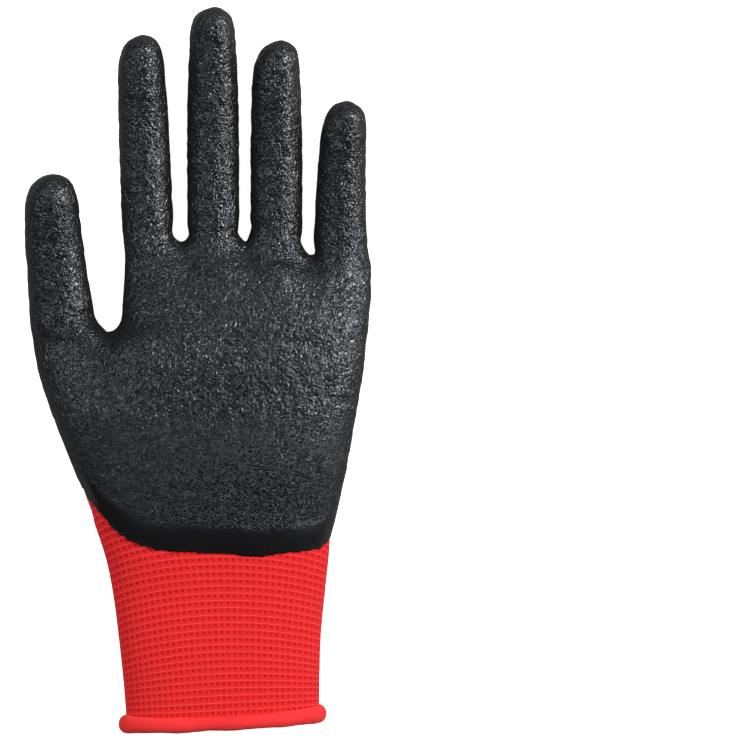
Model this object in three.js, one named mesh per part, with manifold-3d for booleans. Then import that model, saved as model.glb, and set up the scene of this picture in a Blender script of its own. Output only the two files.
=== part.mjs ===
// A dipped work glove for the left hand, lying palm up on a flat surface.
// The fingers point along +Y, the thumb is on the -X side, and +Z is up.
// The origin is on the flat back of the hand, in the middle of the palm's length.
// A seamless knitted hand and its elastic cuff are one hollow sleeve, with a thick overlocked hem,
// and a latex coat covers the palm, the sides of the digits and the whole fingertips.

import * as THREE from "three";
import { mergeVertices } from "three/addons/utils/BufferGeometryUtils.js";
import Module from "manifold-3d";

// Driving sizes, in millimetres.
const PALM_LENGTH = 100; // from the start of the cuff to the webs of the fingers
const PALM_WIDTH = 86; // knitted width across the four knuckles
const PALM_DEPTH = 27; // from the back of the hand to the top of the palm
const CUFF_LENGTH = 66; // from the start of the cuff down to its hem
const CUFF_WIDTH = 72;
const CUFF_DEPTH = 24;
const FINGER_LENGTH = 83.7; // the middle finger, from its web
const FINGER_WIDTH = 16;
const FINGER_DEPTH = 13.5;
const FINGER_CURL = 7; // how far the fingertips lift off the surface
const FINGER_ROOT = 16; // how far a digit's tube runs on into the palm
const KNIT_WALL = 1;
const COAT_WALL = 0.8;
const HEM_THICKNESS = 5; // through the rolled edge, from inside to outside
const HEM_HEIGHT = 6; // along the cuff
const HEM_BULGE = 2; // how far it stands out from the cuff
const HEM_SLANT = 0.05; // rise of the hem's line for each millimetre across
const COAT_OVER_CUFF = 11.5; // how far the coat runs past the start of the cuff
const TIP_COVER = 20; // how far the coat reaches down the back of the middle fingertip
const WINDOW_ROUND = 18; // length over which the bare window on a finger's back opens to full width
const EDGE_THUMB = 9.5; // height of the coat's edge on the thumb's side of the palm
const EDGE_LITTLE = 6; // its height on the little finger's side
const EDGE_FINGER = 2.4; // its height along a finger
const WEB_DROP = 4.5; // how much lower the web beside the little finger sits
const DROP_START = 0.25; // where the webs start to drop, as a share of the palm's width off centre
const DROP_END = 0.4; // where they have dropped in full
const EDGE_SPAN = 1.3; // share of the palm's width over which the coat's edge changes height
const STALL_SEAM = 1.5; // how far past its web the knit of a digit's stall starts
const CLEARANCE = 0.3; // between pieces that touch

// Fineness of the facets.
const BODY_SIDES = 28;
const DIGIT_SIDES = 14;
const HEM_SIDES = 8;
const DIP_CELL = 6; // spacing, in millimetres, of the surface that trims the coat
const DIP_SLOPE = 5; // how steeply that surface climbs and falls at the coat's ends

// The sleeve's outline from the hem to the start of the cuff: shares of the cuff's length down from
// its start, of its width to the left and right of the centre line, of its depth, and the lift of
// its underside as a share of the hem's bulge.
const CUFF_ROWS = [
  { down: 1.0, left: 0.476, right: 0.482, depth: 0.94, lift: 1 },
  { down: 0.84, left: 0.49, right: 0.483, depth: 0.94, lift: 0.95 },
  { down: 0.62, left: 0.512, right: 0.49, depth: 0.97, lift: 0.7 },
  { down: 0.38, left: 0.543, right: 0.506, depth: 1.0, lift: 0.45 },
  { down: 0.19, left: 0.582, right: 0.524, depth: 1.06, lift: 0.2 },
];

// The hand's outline from the cuff up: shares of the palm's length from its middle, of its width to
// the left and right of the centre line, and of its depth. The left side holds the thumb's base.
const HEEL_ROWS = [
  { up: -0.5, left: 0.528, right: 0.455, depth: 0.97 },
  { up: -0.36, left: 0.584, right: 0.49, depth: 1.0 },
  { up: -0.215, left: 0.649, right: 0.521, depth: 1.0 },
  { up: -0.07, left: 0.712, right: 0.549, depth: 0.95 },
  { up: 0.05, left: 0.749, right: 0.572, depth: 0.82 },
  { up: 0.17, left: 0.774, right: 0.586, depth: 0.64 },
];

// The palm above the thumb, up to the webs of the fingers.
const KNUCKLE_ROWS = [
  { up: -0.25, left: 0.3, right: 0.44, depth: 0.8 },
  { up: -0.1, left: 0.35, right: 0.52, depth: 0.96 },
  { up: 0.06, left: 0.38, right: 0.574, depth: 0.98 },
  { up: 0.2, left: 0.39, right: 0.59, depth: 0.88 },
  { up: 0.35, left: 0.394, right: 0.6, depth: 0.72 },
  { up: 0.484, left: 0.394, right: 0.6, depth: 0.54 },
];

// The digits: where each leaves the palm, as shares of the palm's width and length, its length as a
// share of FINGER_LENGTH, its lean from +Y in degrees, how far its middle bows to the right as a
// share of its width, its width and depth as shares of a finger's, its rise off the surface as a
// share of FINGER_CURL, the coat's cover of its tip as a share of TIP_COVER, and the slope of the
// coat's edge across it.
const DIGITS = [
  {
    name: "thumb", x: -0.66, y: 0.12, length: 0.735, lean: 3.4, bow: -0.04,
    width: 1.2, depth: 1.15, rise: 0.25, cover: 0.7, slope: -0.5,
  },
  {
    name: "index", x: -0.301, y: 0.48, length: 0.898, lean: 2, bow: 0,
    width: 1, depth: 1, rise: 0, cover: 1.05, slope: -0.06,
  },
  {
    name: "middle", x: -0.04, y: 0.48, length: 1.012, lean: 0, bow: 0,
    width: 1, depth: 1, rise: 0, cover: 1, slope: -0.06,
  },
  {
    name: "ring", x: 0.222, y: 0.48, length: 0.876, lean: -1, bow: 0,
    width: 1.01, depth: 1, rise: 0, cover: 0.9, slope: -0.06,
  },
  {
    name: "little", x: 0.494, y: 0.42, length: 0.69, lean: -1.7, bow: 0,
    width: 0.98, depth: 0.95, rise: 0, cover: 0.85, slope: -0.06,
  },
];

// A digit's girth along its tube, from the end inside the palm to the tip.
const DIGIT_PROFILE = [
  { along: 0.0, girth: 0.0 },
  { along: 0.08, girth: 0.98 },
  { along: 0.2, girth: 1.04 },
  { along: 0.38, girth: 1.01 },
  { along: 0.58, girth: 1.0 },
  { along: 0.74, girth: 0.96 },
  { along: 0.84, girth: 0.91 },
  { along: 0.9, girth: 0.82 },
  { along: 0.95, girth: 0.66 },
  { along: 0.985, girth: 0.38 },
  { along: 1.0, girth: 0.0 },
];

// The coat's lower edge on the palm, seen from above, from the thumb side to the little finger's:
// shares of the cuff's width from the centre line, and of the coat's reach over the cuff.
const COAT_HEM = [
  { x: -0.9, reach: -4.4 },
  { x: -0.72, reach: -1.6 },
  { x: -0.63, reach: -0.55 },
  { x: -0.5, reach: 0.22 },
  { x: -0.4, reach: 0.68 },
  { x: -0.26, reach: 0.95 },
  { x: 0.0, reach: 1.0 },
  { x: 0.2, reach: 1.04 },
  { x: 0.4, reach: 0.85 },
  { x: 0.56, reach: 0.4 },
  { x: 0.75, reach: -0.6 },
];

// Cross-sections.
const ROUNDNESS = 2.5; // exponent of the palm's and cuff's rounded slab
const DIGIT_ROUNDNESS = 2.1;
const EQUATOR = 0.46; // height of the widest line, as a share of the depth
const UNDERSIDE = 1.14; // how far the round underside would reach past the flat it rests on

const MARGIN = 40; // how far cutting shapes run past what they cut
const WRIST_Y = -PALM_LENGTH / 2;
const HEM_Y = WRIST_Y - CUFF_LENGTH;
const UP = new THREE.Vector3(0, 0, 1);
const { clamp, degToRad, lerp, smoothstep } = THREE.MathUtils;

const wasm = await Module();
wasm.setup();

// Value of one column of a table at a place, on a smooth curve through the rows.
function between(rows, place, column, key = "y") {
  const last = rows.length - 1;
  const above = rows.findIndex((row) => row[key] > place);
  const next = above < 0 ? last : Math.max(above, 1);
  const [a, b] = [rows[next - 1], rows[next]];
  const before = rows[Math.max(next - 2, 0)];
  const after = rows[Math.min(next + 1, last)];
  const span = b[key] - a[key];
  const slopeA = (b[column] - before[column]) / (b[key] - before[key]);
  const slopeB = (after[column] - a[column]) / (after[key] - a[key]);
  const t = clamp((place - a[key]) / span, 0, 1);
  const fromA = (1 + 2 * t) * (1 - t) ** 2 * a[column] + t * (1 - t) ** 2 * span * slopeA;
  return fromA + t * t * (3 - 2 * t) * b[column] + t * t * (t - 1) * span * slopeB;
}

function cuffRow(row) {
  return {
    y: WRIST_Y - row.down * CUFF_LENGTH,
    left: -row.left * CUFF_WIDTH,
    right: row.right * CUFF_WIDTH,
    depth: row.depth * CUFF_DEPTH,
    lift: row.lift * HEM_BULGE,
  };
}

function handRow(row) {
  return {
    y: row.up * PALM_LENGTH,
    left: -row.left * PALM_WIDTH,
    right: row.right * PALM_WIDTH,
    depth: row.depth * PALM_DEPTH,
    lift: 0,
  };
}

const CUFF = CUFF_ROWS.map(cuffRow);
const HEEL = HEEL_ROWS.map(handRow);
const KNUCKLES = KNUCKLE_ROWS.map(handRow);
const SLEEVE = [...CUFF, ...HEEL];

// A power of a cosine or sine that keeps its sign, for rounded slabs.
function rounded(value, exponent) {
  return Math.sign(value) * Math.abs(value) ** (2 / exponent);
}

// Height of a section above its widest line, flat underneath where it rests.
function heightAt(sine, depth, exponent, grow) {
  const share = Math.abs(rounded(sine, exponent));
  const above = depth * (1 - EQUATOR) + grow;
  const below = depth * EQUATOR + grow;
  return sine > 0 ? above * share : -Math.min(below * UNDERSIDE * share, below);
}

// A point of the sleeve's or palm's outline at a place along +Y, grown outwards by a thickness.
function bodyPoint(rows, y, angle, radius, grow) {
  const [left, right] = [between(rows, y, "left"), between(rows, y, "right")];
  const depth = between(rows, y, "depth");
  const half = (right - left) / 2 + grow;
  const x = (left + right) / 2 + radius * half * rounded(Math.cos(angle), ROUNDNESS);
  const rise = radius * heightAt(Math.sin(angle), depth, ROUNDNESS, grow);
  const slant = HEM_SLANT * x * clamp((WRIST_Y - y) / CUFF_LENGTH, 0, 1);
  const dropped = smoothstep(x, DROP_START * PALM_WIDTH, DROP_END * PALM_WIDTH);
  const drop = WEB_DROP * dropped * clamp((2 * y) / PALM_LENGTH, 0, 1);
  return new THREE.Vector3(x, y + slant - drop, between(rows, y, "lift") + depth * EQUATOR + rise);
}

// Moves each vertex of a geometry by a function.
function reshape(geometry, move) {
  const position = geometry.getAttribute("position");
  const point = new THREE.Vector3();
  for (let i = 0; i < position.count; i += 1) {
    const moved = move(point.fromBufferAttribute(position, i));
    position.setXYZ(i, moved.x, moved.y, moved.z);
  }
  return geometry;
}

// The solid of a closed geometry.
function solidOf(geometry) {
  geometry.deleteAttribute("normal");
  geometry.deleteAttribute("uv");
  const merged = mergeVertices(geometry, 1e-4);
  return new wasm.Manifold(
    new wasm.Mesh({
      numProp: 3,
      vertProperties: merged.getAttribute("position").array,
      triVerts: new Uint32Array(merged.index.array),
    }),
  );
}

// The geometry of a solid, for a mesh.
function geometryOf(solid) {
  const mesh = solid.getMesh();
  return new THREE.BufferGeometry()
    .setAttribute("position", new THREE.BufferAttribute(mesh.vertProperties, 3))
    .setIndex(new THREE.BufferAttribute(mesh.triVerts, 1));
}

// A stretch of the sleeve or of the palm as a solid: a cylinder moved onto sections at given places.
function bodySolid(rows, places, grow) {
  const steps = places.length - 1;
  const cylinder = new THREE.CylinderGeometry(1, 1, 1, BODY_SIDES, steps);
  return solidOf(reshape(cylinder, (p) => {
    const y = places[Math.round((p.y + 0.5) * steps)];
    return bodyPoint(rows, y, Math.atan2(p.z, p.x), Math.hypot(p.x, p.z), grow);
  }));
}

// How far a digit is lifted at a share of its length from its web.
function lift(digit, share) {
  return FINGER_CURL * (digit.rise + Math.max(0, share) ** 2);
}

// The centre line of a digit, from its end inside the palm to its tip.
class DigitLine extends THREE.Curve {
  constructor(digit) {
    super();
    this.digit = digit;
    this.length = digit.length * FINGER_LENGTH;
  }

  getPoint(t, target = new THREE.Vector3()) {
    const { digit, length } = this;
    const along = lerp(-FINGER_ROOT, length, t);
    const turn = degToRad(digit.lean);
    const side = digit.bow * FINGER_WIDTH * Math.sin((Math.PI * along) / length);
    return target.set(
      digit.x * PALM_WIDTH - along * Math.sin(turn) + side * Math.cos(turn),
      digit.y * PALM_LENGTH + along * Math.cos(turn) + side * Math.sin(turn),
      digit.depth * FINGER_DEPTH * EQUATOR + lift(digit, along / length),
    );
  }
}

// A digit as a solid: a sphere drawn out along the digit's line.
function digitSolid(digit, grow) {
  const last = DIGIT_PROFILE.length - 1;
  const line = new DigitLine(digit);
  return solidOf(reshape(new THREE.SphereGeometry(1, DIGIT_SIDES, last), (p) => {
    const turn = Math.acos(clamp(p.y, -1, 1)) / Math.PI;
    const row = DIGIT_PROFILE[last - Math.round(turn * last)];
    const angle = Math.atan2(p.z, p.x);
    const tangent = line.getTangent(row.along);
    const side = new THREE.Vector3().crossVectors(tangent, UP).normalize();
    const top = new THREE.Vector3().crossVectors(side, tangent);
    const half = row.girth * ((digit.width * FINGER_WIDTH) / 2 + grow);
    const depth = Math.min(row.girth, 1) * digit.depth * FINGER_DEPTH;
    return line
      .getPoint(row.along)
      .addScaledVector(tangent, grow * (2 * row.along - 1))
      .addScaledVector(side, half * rounded(Math.cos(angle), DIGIT_ROUNDNESS))
      .addScaledVector(top, heightAt(Math.sin(angle), depth, DIGIT_ROUNDNESS, row.girth * grow));
  }));
}

// The whole hand as one solid, grown by a thickness, with sections of its sleeve below the palm.
function handSolid(grow, below) {
  const heel = HEEL.map((row) => row.y);
  const knuckles = KNUCKLES.map((row) => row.y);
  heel[heel.length - 1] += grow;
  knuckles[knuckles.length - 1] += grow;
  const parts = [
    bodySolid(SLEEVE, [...below, ...heel.slice(1)], grow),
    bodySolid(KNUCKLES, knuckles, grow),
    ...DIGITS.map((digit) => digitSolid(digit, grow)),
  ];
  return parts.reduce((whole, part) => whole.add(part));
}

// Height of the coat's edge at a place in plan: along the palm, along a digit, down round its tip
// where the coat covers all of it, and up over the palm at the coat's lower end.
function coatEdge(x, y) {
  const across = clamp(x / (EDGE_SPAN * PALM_WIDTH) + 0.5, 0, 1);
  const palmEdge = lerp(EDGE_THUMB, EDGE_LITTLE, across);
  const reached = COAT_OVER_CUFF * between(COAT_HEM, x / CUFF_WIDTH, "reach", "x");
  const low = WRIST_Y - reached + (PALM_DEPTH - palmEdge) / DIP_SLOPE;
  const distances = DIGITS.map((digit) => {
    const along = y - digit.y * PALM_LENGTH;
    const offset = x - digit.x * PALM_WIDTH + along * Math.tan(degToRad(digit.lean));
    return { digit, along, offset, reach: digit.length * FINGER_LENGTH };
  });
  const near = distances.reduce((a, b) => (Math.abs(a.offset) < Math.abs(b.offset) ? a : b));
  const { digit, along, offset, reach } = near;
  const half = (digit.width * FINGER_WIDTH) / 2;
  const digitEdge = EDGE_FINGER + digit.slope * clamp(offset, -half, half) + lift(digit, along / reach);
  const edge = lerp(palmEdge, digitEdge, smoothstep(along, -FINGER_ROOT / 4, FINGER_ROOT));
  const bare = reach - along - digit.cover * TIP_COVER - WINDOW_ROUND * Math.min(1, (offset / half) ** 2);
  return edge + DIP_SLOPE * (Math.min(0, bare) + Math.max(0, low - y));
}

// Everything above the coat's edge, as a block whose underside follows it.
function dippedSpace() {
  const width = 2 * (PALM_WIDTH + MARGIN / 2);
  const length = 2 * (PALM_LENGTH + FINGER_LENGTH);
  const top = PALM_DEPTH + MARGIN;
  const block = new THREE.BoxGeometry(
    width,
    length,
    1,
    Math.round(width / DIP_CELL),
    Math.round(length / DIP_CELL),
    1,
  );
  return solidOf(reshape(block, (p) => {
    const edge = clamp(coatEdge(p.x, p.y), -MARGIN, top - 1);
    return new THREE.Vector3(p.x, p.y, p.z > 0 ? top : edge);
  }));
}

// The space of one digit past its web, up to half way to its neighbours, less a gap at its start.
function digitSpace(index, gap) {
  const middle = (a, b) => ((a.x + b.x) * PALM_WIDTH) / 2;
  const [before, digit, after] = [DIGITS[index - 1], DIGITS[index], DIGITS[index + 1]];
  const left = before ? middle(before, digit) : digit.x * PALM_WIDTH - MARGIN;
  const right = after ? middle(digit, after) : digit.x * PALM_WIDTH + MARGIN;
  const web = before ? KNUCKLES.at(-1).y : HEEL.at(-1).y;
  const start = web + STALL_SEAM + gap;
  const end = start + PALM_LENGTH + FINGER_LENGTH;
  const space = new THREE.BoxGeometry(right - left, end - start, 2 * (PALM_DEPTH + MARGIN));
  return solidOf(space.translate((left + right) / 2, (start + end) / 2, 0));
}

// The seamless knit of the hand, hollow all through and open at the start of the cuff.
function knitShell() {
  const outside = handSolid(0, [WRIST_Y + CLEARANCE / 2]);
  return outside.subtract(handSolid(-KNIT_WALL, [CUFF.at(-1).y]));
}

const KNIT = knitShell();

// The knit's palm and back, open at the wrist and at each digit's web.
function knitPalm() {
  return DIGITS.reduce((palm, digit, index) => palm.subtract(digitSpace(index, 0)), KNIT);
}

// One digit's stall, a tube closed at its tip.
function knitStall(index) {
  return KNIT.intersect(digitSpace(index, CLEARANCE));
}

// The latex coat, clear of the knit, which runs a little way over the start of the cuff.
function latexCoat() {
  const cuffPlaces = [...CUFF.slice(-2).map((row) => row.y), WRIST_Y];
  const outside = handSolid(CLEARANCE + COAT_WALL, cuffPlaces);
  const inside = handSolid(CLEARANCE, [CUFF.at(-3).y, ...cuffPlaces]);
  return outside.subtract(inside).intersect(dippedSpace());
}

// The elastic cuff: an open tube from the start of the cuff down to its hem.
function knitCuff() {
  const places = [...CUFF.map((row) => row.y), WRIST_Y - CLEARANCE / 2];
  const through = [HEM_Y - KNIT_WALL, ...places.slice(1), WRIST_Y + KNIT_WALL];
  return bodySolid(SLEEVE, places, 0).subtract(bodySolid(SLEEVE, through, -KNIT_WALL));
}

// The thick overlocked edge below the cuff, as a ring round its mouth.
function cuffHem() {
  const [radius, tube] = [2, 1];
  const ring = new THREE.TorusGeometry(radius, tube, HEM_SIDES, BODY_SIDES);
  const middle = HEM_BULGE - HEM_THICKNESS / 2;
  const seat = CLEARANCE + HEM_HEIGHT / 2;
  return solidOf(reshape(ring, (p) => {
    const outward = (Math.hypot(p.x, p.y) - radius) / tube;
    const grow = middle + (outward * HEM_THICKNESS) / 2;
    const point = bodyPoint(SLEEVE, HEM_Y, Math.atan2(p.y, p.x), 1, grow);
    point.y -= seat + ((p.z / tube) * HEM_HEIGHT) / 2;
    return point;
  }));
}

const red = { color: 0xcf2028, roughness: 0.85, metalness: 0 };
const PIECES = [
  { name: "knit_palm", solid: knitPalm(), finish: red },
  ...DIGITS.map(({ name }, index) => ({ name: `${name}_stall`, solid: knitStall(index), finish: red })),
  { name: "latex_coating", solid: latexCoat(), finish: { color: 0x18181a, roughness: 0.45, metalness: 0 } },
  { name: "knit_cuff", solid: knitCuff(), finish: red },
  { name: "cuff_hem", solid: cuffHem(), finish: { color: 0xb01c22, roughness: 0.85, metalness: 0 } },
];

const glove = new THREE.Group();
for (const { name, solid, finish } of PIECES) {
  const mesh = new THREE.Mesh(geometryOf(solid), new THREE.MeshStandardMaterial(finish));
  mesh.name = name;
  glove.add(mesh);
}

export default glove;
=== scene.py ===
"""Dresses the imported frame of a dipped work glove: knit hand, latex coat, rib cuff and hem."""

import math

import bmesh
import bpy
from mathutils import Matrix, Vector, kdtree, noise


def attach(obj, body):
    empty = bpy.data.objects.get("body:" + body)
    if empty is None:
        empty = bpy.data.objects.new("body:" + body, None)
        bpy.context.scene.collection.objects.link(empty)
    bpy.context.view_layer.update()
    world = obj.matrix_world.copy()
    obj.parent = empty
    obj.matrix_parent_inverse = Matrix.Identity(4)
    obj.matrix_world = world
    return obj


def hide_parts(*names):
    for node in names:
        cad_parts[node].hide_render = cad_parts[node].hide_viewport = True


bl_info = {
    "name": "Dipped Work Glove",
    "version": (1, 0, 0),
    "blender": (4, 5, 0),
    "location": "3D View > Sidebar > Glove",
    "description": "Knit hand, crinkled latex coat, rib cuff and overlocked hem of a work glove",
    "category": "Add Mesh",
}

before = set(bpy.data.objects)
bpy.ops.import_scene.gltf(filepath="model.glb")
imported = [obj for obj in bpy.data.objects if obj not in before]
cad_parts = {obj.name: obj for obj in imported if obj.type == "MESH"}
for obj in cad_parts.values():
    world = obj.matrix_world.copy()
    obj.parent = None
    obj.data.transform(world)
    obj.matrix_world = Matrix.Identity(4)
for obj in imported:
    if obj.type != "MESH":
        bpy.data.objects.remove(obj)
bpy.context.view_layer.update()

MM = 0.001
WHOLE_TURN = 2 * math.pi

# The sleeve from the hem up to the thumb, in millimetres: y, left, right, depth at the palm, depth at
# the thumb's side, lift of the underside.
SLEEVE = (
    (-116.0, -34.4, 34.8, 22.6, 22.6, 2.0),
    (-105.4, -35.3, 34.9, 22.6, 22.6, 1.9),
    (-90.9, -36.9, 35.4, 23.3, 23.3, 1.4),
    (-75.1, -39.0, 36.9, 24.0, 24.0, 0.9),
    (-62.5, -41.6, 38.2, 25.4, 25.4, 0.4),
    (-50.0, -45.8, 39.2, 26.2, 26.2, 0.0),
    (-36.0, -50.3, 42.5, 27.0, 27.0, 0.0),
    (-21.5, -55.9, 45.3, 27.0, 26.4, 0.0),
    (-7.0, -61.5, 47.7, 26.6, 24.8, 0.0),
    (5.0, -65.4, 49.7, 26.5, 22.0, 0.0),
    (17.0, -67.9, 50.9, 24.6, 19.2, 0.0),
)

# The palm above the thumb, up to the webs: y, left, right, depth.
KNUCKLES = (
    (6.0, -35.4, 49.9, 26.5),
    (20.0, -36.0, 51.2, 23.8),
    (27.0, -34.9, 51.8, 21.9),
    (35.0, -34.7, 52.3, 19.4),
    (48.4, -35.1, 52.4, 14.8),
)

# The digits: base y, x at the base with its slope and bend along the digit, length, width, how much
# wider the base and narrower the end is, depth, rise off the surface, length of the rounded tip and how
# far it points aside, slant of the web, the bare window on the back (distance of its top from the tip,
# slope of its edge), the first column line and the place of the first ring.
DIGITS = {
    "thumb": dict(
        base=12, x=-55.8, slope=-0.1614, bend=0.0012, length=61.4, width=18.6, flare=0.21, taper=0.14,
        depth=15.5, rise=1.75, tip=13, nose=0.9, slant=0, cover=14, edge=-0.5, column=0, first=9.3,
    ),
    "index": dict(
        base=48, x=-26.7, slope=-0.0353, bend=0, length=75.3, width=16.3, flare=0.02, taper=0.2,
        depth=13.5, rise=0, tip=12, nose=1.0, slant=0, cover=21, edge=-0.06, column=3, first=4.6,
    ),
    "middle": dict(
        base=48, x=-3.4, slope=0, bend=0, length=85.4, width=17.2, flare=-0.04, taper=0.27,
        depth=13.5, rise=0, tip=9, nose=0.6, slant=0.05, cover=20, edge=-0.06, column=6, first=4.6,
    ),
    "ring": dict(
        base=48, x=19.3, slope=0.001, bend=0, length=73.4, width=17.0, flare=-0.03, taper=0.22,
        depth=13.5, rise=0, tip=12, nose=1.8, slant=-0.33, cover=18, edge=-0.06, column=9, first=4.6,
    ),
    "little": dict(
        base=42, x=42.6, slope=-0.035, bend=0.0012, length=57.5, width=15.4, flare=0.17, taper=0.18,
        depth=12.8, rise=0, tip=10.5, nose=0.5, slant=0.1, cover=17, edge=-0.06, column=12, first=5.2,
    ),
}

# The webs between the digits, by column line: x, y of the saddle, y of its corners, and the heights of
# the top corner, the saddle and the bottom corner.
WEBS = {
    3: (-41.4, 17.5, 14.0, 18.8, 8.2, 1.4),
    6: (-15.0, 50.4, 46.6, 11.9, 6.3, 1.2),
    9: (8.6, 50.3, 46.6, 11.9, 6.3, 1.2),
    12: (31.0, 45.6, 41.8, 12.2, 6.3, 1.2),
}
THUMB_WEB = 3
FINGER_WEBS = (6, 9, 12)

# The row where the fingers part: x and y by column line, x of the palm's two sides, and the heights of
# underside, widest line and top at the sides, then of underside and top between them.
PARTING_X = {
    3: -33.4, 4: -27.8, 5: -21.6, 7: -7.3, 8: 0.5, 10: 15.5, 11: 22.9, 13: 38.4, 14: 44.4, 15: 50.8,
}
PARTING_Y = {
    3: 45.6, 4: 46, 5: 45.6, 7: 46.5, 8: 46.7, 10: 46, 11: 44, 13: 40.8, 14: 41.4, 15: 41.6,
}
PARTING_SIDES = {3: -35.0, 15: 52.4}
PARTING_SIDE_HEIGHTS = (1.9, 6.4, 10.6)
PARTING_UNDERSIDE = 0
PARTING_TOP = 14.1

# The coat's lower edge on the palm, seen from above: x, y.
COAT_HEM = (
    (-68.0, 2.0),
    (-56.4, -26.0),
    (-51.2, -34.8),
    (-48.4, -39.4),
    (-46.3, -42.4),
    (-42.2, -47.2),
    (-37.1, -52.7),
    (-31.9, -56.1),
    (-27.0, -58.0),
    (-19.8, -59.5),
    (-9.2, -60.0),
    (2.6, -60.6),
    (13.2, -61.5),
    (20.3, -60.5),
    (32.0, -59.4),
    (35.6, -58.2),
    (38.3, -55.4),
    (42.0, -48.0),
    (54.0, -34.0),
)

# Rows of the cages, as y of the sleeve and of the palm above the thumb.
HAND_ROWS = (-47.5, -40.5, -32.5, -24.5, -16, -8, -1, 6, 13.4)
COAT_ROWS = (-68, -59, -50, -42, -33, -24.5, -16, -8, -1, 6, 13.4)
PALM_ROWS = (20.5, 27.5, 34.5, 40.2)
COLUMNS = 15

# Marks of the cage's points; the digits are numbered from 1.
SLEEVE_PART = 0
PALM_PART = 6
PARTING_PART = 7

# The round of the hand: exponents of its sections, share of the depth under the widest line, and how
# far the underside is flattened.
ROUNDNESS = 2.5
DIGIT_ROUNDNESS = 2.1
TIP_ROUNDNESS = 2.6
EQUATOR = 0.46
UNDERSIDE = 1.14

# Share of the width between a side and its column line, and place of the outer lines on the section.
EDGE_INSET = 0.035
OUTER_LINE = 0.93

# The wrist: y of its joint, rise of the joint on the palm side, arch of the rows, y from which rows are
# level, y where the lines have parted for the thumb, x over which the thumb's side goes into the palm.
WRIST_Y = -47.5
PALM_RISE = 8.0
ARCH = 4.6
LEVEL_Y = -24
BRANCH_Y = 14
THUMB_SIDE = (-50, -26)
WRIST_TUCK = 0.5

# The palm's dip at each web, its start and length along the hand, how much lower the rows run at the
# little finger, the x over which they fall, and the y where they have fallen.
WEB_DIP = 1.1
DIP_START = 24
DIP_LENGTH = 16
LITTLE_DROP = 4.5
LITTLE_SIDE = (21.5, 34.4)
LITTLE_DROP_Y = 50

# The digits' rings: turn between lines, second ring after the first, widest gap, distances from the
# tip, end of the tip and its girth, rings that slant with the web, and lift of the tips.
RING_TURN = math.radians(36)
SECOND_RING = 4.2
RING_GAP = 7.5
TIP_RINGS = (18.5, 12.5, 8.0, 4.6, 2.0)
TIP_END = 0.1
TIP_GIRTH = 0.2
SLANT_RINGS = 4
CURL = 7.0

# The coat's edge: its height at the palm's left and right, their distance, its height on the digits,
# the way along a digit over which one goes into the other, how much it follows the rows of the cuff and
# from which slopes, half the width of the rows' arch, and its wander.
PALM_EDGE = (9.5, 6.0)
PALM_SPAN = 112
DIGIT_EDGE = 2.4
DIGIT_START = (-4, 16)
ROW_SHARE = 0.34
ROW_SLOPES = (0.1, 0.45)
ARCH_HALF = 42
EDGE_WANDER = 0.3

# How far the bare windows are rounded at their tops, how steeply the field falls at the windows and at
# the lower edge, and the share of an edge within which a cut moves to its end.
WINDOW_ROUND = 18
WINDOW_FALL = 5
HEM_FALL = 60
SNAP = 0.12

# The coat's wall, in shares of its full thickness: plain, lumps, rim and least.
PLAIN_WALL = 0.8
LUMP_WALL = 0.28
RIM_WALL = 0.2
RIM_LUMPS = 0.14
LEAST_WALL = 0.05
FULL_WALL = 1.15

# The coat's ends, as distances below the middle and from a tip, reach of the smooth band and of the
# thin rim (at the sides and at the ends), how much less the fingertips count than the wrist, the
# smoothing of the heel and its y, the gaps under the coat, and the y and reach where it lies on the cuff.
WRIST_END = (8, 52)
TIP_END_START = 42
TIP_END_STOP = 26
BAND_REACH = (1.6, 13.5)
RIM_REACH = (2.2, 7)
FINGERTIP_SHARE = 0.7
FINGERTIP_BAND = 0.45
HEEL_SMOOTHING = 0.3
HEEL = (-56, -36)
HAND_GAP = 0.00018
CUFF_GAP = 0.00045
OVER_CUFF = (-44, -36)
OVER_CUFF_REACH = 4

# The cuff: its wales and courses, samples across a stitch, height of a course, slant, length over which
# it slants, overlap on the hand, share of it where the arch fades, hole's depth, sharpness and rise in
# its cell, inset of the top edge and how far down it goes, and wall.
CUFF_WALES = 76
CUFF_COURSES = 32
SAMPLES = 4
COURSE = 2.44
CUFF_SLANT = 0.05
SLANT_LENGTH = 68
CUFF_OVERLAP = 1.2
ARCH_FADE = 0.3
HOLE_DEPTH = 0.22
HOLE_SHARPNESS = 1.2
HOLE_RISE = 0.1
TOP_INSET = 0.3
INSET_END = (0.012, 0.05)
CUFF_WALL = 0.0009

# The hem: y of its top, tuck of the cuff, drop of its middle line, sag at the palm, half length and
# half thickness of its bead and how much thinner they are at the palm, how far out it stands, its swell
# and fine ridge, steps round it and round its bead, thread turns round it and over the bead.
HEM_Y = -116.0
HEM_TUCK = 0.3
HEM_DROP = 4.2
HEM_SAG = 1.0
BEAD_LENGTH = 3.15
BEAD_LENGTH_LOSS = 0.8
BEAD_THICKNESS = 2.5
BEAD_THICKNESS_LOSS = 0.4
BEAD_OUT = 0.1
SWELL_LENGTH = 0.3
SWELL_THICKNESS = 0.2
FINE_RIDGE = 0.06
HEM_STEPS = 640
BEAD_STEPS = 18
HEM_TURNS = 330
BEAD_TURNS = 12

# Steps and half sizes for measuring the way round the cuff.
SECTION_STEPS = 720
SECTION_HALVES = (36, 12)
SECTION_TABLE = []

# Loops of the jersey in one column, and the height of a loop.
COLUMN_LOOPS = 4.0
LOOP_HEIGHT = 0.95

# Look of every red yarn.
YARN = dict(
    Specular_IOR_Level=0.1, Sheen_Weight=0.45, Sheen_Roughness=0.6, Sheen_Tint=(1, 0.16, 0.16, 1),
)

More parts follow.
